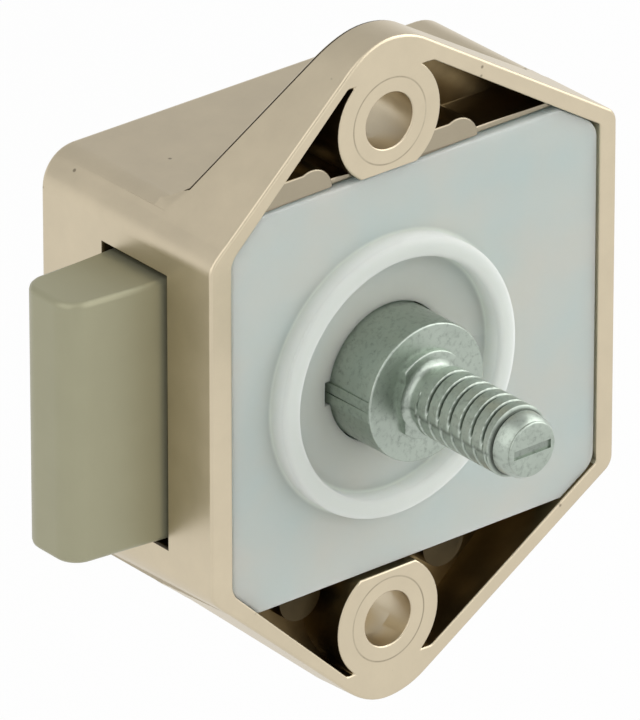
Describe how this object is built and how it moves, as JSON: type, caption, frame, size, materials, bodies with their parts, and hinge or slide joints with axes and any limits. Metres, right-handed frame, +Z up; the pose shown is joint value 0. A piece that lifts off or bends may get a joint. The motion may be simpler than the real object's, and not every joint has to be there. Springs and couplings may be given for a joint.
{
  "type": "pushbutton cabinet lock",
  "caption": "Rim-mounted cabinet lock: die-cast case with screw ears, sliding dead bolt, and a spring-loaded push plunger with a threaded stud for a knob.",
  "frame": {"origin": "plunger axis in the plane of the mounting face, midway between the screw holes", "axes": "+X away from the bolt, +Y into the case, +Z up along the line of the screw holes"},
  "size_m": [0.0528, 0.0408, 0.0612],
  "materials": {
    "nickel_plated_zinc": "satin warm nickel plate on die-cast zinc",
    "translucent_plastic": "milky translucent moulded plastic",
    "raw_zinc": "bare die-cast zinc, slightly rough",
    "steel": "ground steel pin",
    "bolt_plastic": "satin moulded plastic in nickel grey",
    "spring_steel": "bright drawn spring wire"
  },
  "bodies": {
    "case": {"case": "nickel_plated_zinc", "cover_plate": "translucent_plastic", "plunger_spring": "spring_steel", "catch_wire": "spring_steel"},
    "plunger": {"plunger": "raw_zinc", "drive_pins": "steel"},
    "bolt": {"bolt": "bolt_plastic"}
  },
  "joints": [
    {"name": "plunger_slide", "type": "slide", "parent": "case", "child": "plunger", "axis": [0, -1, 0], "range_m": [-0.001, 0.009], "deforming": ["plunger_spring"]},
    {"name": "bolt_slide", "type": "slide", "parent": "case", "child": "bolt", "axis": [1, 0, 0], "range_m": [-0.00112, 0.01001], "deforming": ["catch_wire"]}
  ],
  "couplings": [
    {"joint": "bolt_slide", "follows": "plunger_slide", "ratio": 1.1111}
  ]
}
